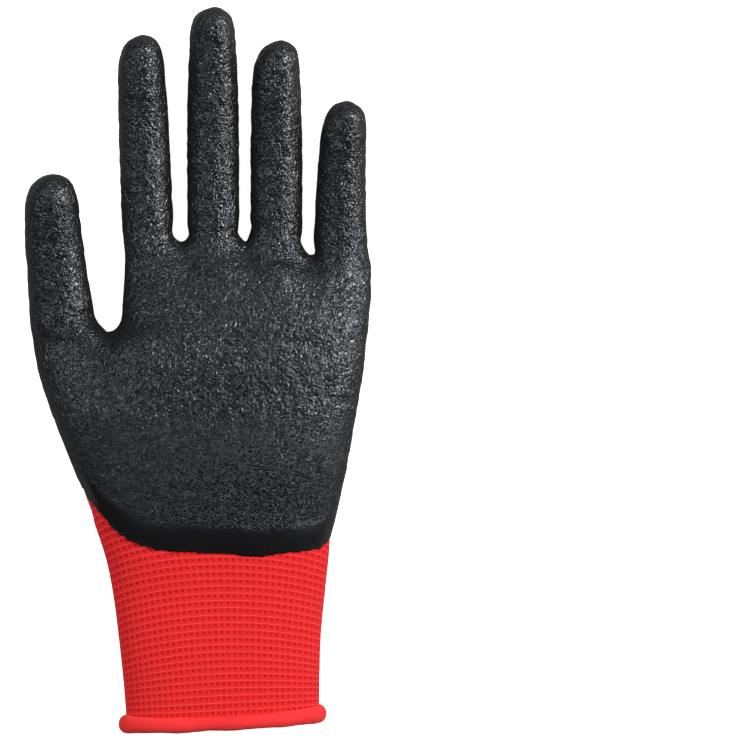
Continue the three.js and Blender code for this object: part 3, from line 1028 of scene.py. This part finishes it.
class GloveSizes(bpy.types.PropertyGroup):
    """Sizes and colours of the glove that a user would change."""

    knit_wall: bpy.props.FloatProperty(
        name="Knit wall", description="Thickness of the knitted hand", default=0.001, unit="LENGTH"
    )
    coat_wall: bpy.props.FloatProperty(
        name="Coat wall", description="Thickness of the latex", default=0.00085, unit="LENGTH"
    )
    crinkle_depth: bpy.props.FloatProperty(
        name="Crinkle depth", description="Height of the crinkles", default=0.0004, unit="LENGTH"
    )
    # Yarn red is the yarn's own colour and the lit copy on the jersey's loop tops; deep red is its painted
    # shade copy, between the jersey's loops and in the hem's valleys.
    lit_red: colour_setting("Yarn red", "Colour of the top of the yarn", (0.59, 0.014, 0.016, 1))
    shade_red: colour_setting("Deep red", "Colour between the yarns", (0.56, 0.006, 0.008, 1))
    # Hole red is painted shade in the rib's holes; thread red is the painted highlight on the rib's
    # elastic thread and part of the hem thread's own colour.
    hole_shade_red: colour_setting("Hole red", "Colour in the holes of the rib", (0.42, 0.0003, 0.0008, 1))
    thread_and_highlight_red: colour_setting("Thread red", "Colour of the elastic thread", (0.86, 0.045, 0.045, 1))


class GLOVE_OT_knit_hand(bpy.types.Operator):
    """Makes the seamless knitted hand."""

    bl_idname = "glove.knit_hand"
    bl_label = "Knitted hand"

    def execute(self, context):
        shell, targets = hand_cage(HAND_ROWS, PALM_RISE)
        shell.normal_update()
        for vert in shell.verts:
            if vert.is_boundary:
                targets[vert.index] -= vert.normal * WRIST_TUCK * MM
        settle(shell, targets)
        lay_stitches(shell)
        hand = piece_object("knitted_hand", shell)
        add_smoothing(hand, 2)
        add_wall(hand, context.scene.glove.knit_wall, -1)
        hand.data.materials.append(knit_finish(context.scene.glove))
        stalls = [f"{name}_stall" for name in DIGITS]
        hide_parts("knit_palm", *stalls)
        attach(hand, "root")
        return {"FINISHED"}


class GLOVE_OT_latex_coat(bpy.types.Operator):
    """Makes the crinkled latex coat."""

    bl_idname = "glove.latex_coat"
    bl_label = "Latex coat"

    def execute(self, context):
        cage, targets = hand_cage(COAT_ROWS)
        settle(cage, targets)
        coarse = piece_object("coat_cage", cage)
        shell = smoothed(coarse, 3)
        bpy.data.objects.remove(coarse)
        trim(shell, coat_field)
        shell.normal_update()
        shape_coat(shell)
        coat = piece_object("latex_coat", shell)
        coat.vertex_groups.new(name="thickness")
        wall = add_wall(coat, context.scene.glove.coat_wall * FULL_WALL, 1)
        wall.vertex_group = "thickness"
        wall.thickness_vertex_group = 0.02
        coat.data.materials.append(latex_finish(context.scene.glove))
        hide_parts("latex_coating")
        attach(coat, "root")
        return {"FINISHED"}


class GLOVE_OT_rib_cuff(bpy.types.Operator):
    """Makes the elastic rib cuff, with a dent for each hole of its knit."""

    bl_idname = "glove.rib_cuff"
    bl_label = "Rib cuff"

    def execute(self, context):
        shell = stitch_grid(CUFF_WALES, CUFF_COURSES, CUFF_WALES * SAMPLES, CUFF_COURSES * SAMPLES)
        for vert in shell.verts:
            turn, down = vert.co.x + 0.5, 0.5 - vert.co.y
            angle = section_angle(turn)
            flattened = 1 if angle < math.pi else UNDERSIDE
            height = max(-1, rounded(math.sin(angle), ROUNDNESS) * flattened)
            aside = rounded(math.cos(angle), ROUNDNESS)
            top = WRIST_Y + CUFF_OVERLAP + PALM_RISE * (0.5 + 0.5 * height)
            y = mix(top, hem_line(turn) - HEM_TUCK, down)
            arch = ARCH * aside * aside * min(1, (1 - down) / ARCH_FADE)
            wale, course = turn * CUFF_WALES, down * CUFF_COURSES + HOLE_RISE
            hole_x = 0.5 - 0.5 * math.cos(WHOLE_TURN * wale)
            hole_y = 0.5 - 0.5 * math.cos(WHOLE_TURN * course)
            inset = TOP_INSET * (1 - ease(down, *INSET_END))
            relief = -HOLE_DEPTH * (hole_x * hole_y) ** HOLE_SHARPNESS - inset
            vert.co = sleeve_section(y - arch, turn, relief) * MM
        close_round(shell)
        cuff = piece_object("rib_cuff", shell)
        add_wall(cuff, CUFF_WALL, -1)
        cuff.data.materials.append(rib_finish(context.scene.glove))
        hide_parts("knit_cuff")
        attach(cuff, "root")
        return {"FINISHED"}


class GLOVE_OT_cuff_hem(bpy.types.Operator):
    """Makes the thick overlocked hem round the cuff's mouth."""

    bl_idname = "glove.cuff_hem"
    bl_label = "Cuff hem"

    def execute(self, context):
        shell = stitch_grid(HEM_TURNS, BEAD_TURNS, HEM_STEPS, BEAD_STEPS)
        for vert in shell.verts:
            turn, around = vert.co.x + 0.5, WHOLE_TURN * (vert.co.y + 0.5)
            ring = Vector((math.cos(WHOLE_TURN * turn), math.sin(WHOLE_TURN * turn), 3))
            swell = noise.noise(ring * 3) + 0.5 * noise.noise(ring * 9)
            ridge = FINE_RIDGE * noise.noise(ring * 60)
            middle = palm_middle(turn)
            length = BEAD_LENGTH - BEAD_LENGTH_LOSS * middle + SWELL_LENGTH * swell + ridge
            thick = BEAD_THICKNESS - BEAD_THICKNESS_LOSS * middle + SWELL_THICKNESS * swell + ridge
            spot = sleeve_section(HEM_Y, turn, BEAD_OUT + thick * math.cos(around))
            spot.y += hem_line(turn) - HEM_Y + length * math.sin(around)
            spot.z = max(spot.z, 0)
            vert.co = spot * MM
        close_round(shell)
        hem = piece_object("cuff_hem_thread", shell)
        hem.data.materials.append(hem_finish(context.scene.glove))
        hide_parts("cuff_hem")
        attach(hem, "root")
        return {"FINISHED"}


def soft_light(name, place, aim, size, power, shows):
    """Adds an area light; one that doesn't show only brightens matt surfaces."""
    lamp = bpy.data.lights.new(name, "AREA")
    lamp.size = size
    lamp.energy = power
    obj = bpy.data.objects.new(name, lamp)
    obj.location = place
    obj.visible_glossy = shows
    obj.rotation_euler = (Vector(aim) - Vector(place)).to_track_quat("-Z", "Y").to_euler()
    bpy.context.scene.collection.objects.link(obj)


class GLOVE_OT_stage(bpy.types.Operator):
    """Sets up the pale floor, the soft lights and the camera straight above."""

    bl_idname = "glove.stage"
    bl_label = "Stage"

    def execute(self, context):
        scene = context.scene
        floor = bmesh.new()
        bmesh.ops.create_grid(floor, x_segments=1, y_segments=1, size=4)
        bmesh.ops.translate(floor, verts=floor.verts, vec=(0, 0, -FLOOR_DROP))
        ground = piece_object("floor", floor)
        ground.data.materials.append(floor_finish())
        world = bpy.data.worlds.new("studio")
        world.use_nodes = True
        world.node_tree.nodes["Background"].inputs["Color"].default_value = (1, 1, 1, 1)
        world.node_tree.nodes["Background"].inputs["Strength"].default_value = WORLD_LIGHT
        scene.world = world
        for light in LIGHTS:
            soft_light(*light)
        camera = bpy.data.cameras.new("camera")
        camera.lens = 200
        camera.sensor_width = 36
        eye = bpy.data.objects.new("camera", camera)
        eye.location = CAMERA_PLACE
        scene.collection.objects.link(eye)
        scene.camera = eye
        scene.view_settings.view_transform = "Standard"
        return {"FINISHED"}


class GLOVE_PT_pieces(bpy.types.Panel):
    """Lists the glove's pieces in the sidebar."""

    bl_label = "Glove"
    bl_space_type = "VIEW_3D"
    bl_region_type = "UI"
    bl_category = "Glove"

    def draw(self, context):
        for operator in PIECES:
            self.layout.operator(operator.bl_idname)


PIECES = (
    GLOVE_OT_knit_hand,
    GLOVE_OT_latex_coat,
    GLOVE_OT_rib_cuff,
    GLOVE_OT_cuff_hem,
    GLOVE_OT_stage,
)
CLASSES = (GloveSizes, *PIECES, GLOVE_PT_pieces)


def register():
    for item in CLASSES:
        bpy.utils.register_class(item)
    bpy.types.Scene.glove = bpy.props.PointerProperty(type=GloveSizes)


def unregister():
    del bpy.types.Scene.glove
    for item in reversed(CLASSES):
        bpy.utils.unregister_class(item)


def main():
    register()
    bpy.ops.glove.knit_hand()
    bpy.ops.glove.latex_coat()
    bpy.ops.glove.rib_cuff()
    bpy.ops.glove.cuff_hem()
    bpy.ops.glove.stage()


if __name__ == "__main__":
    main()
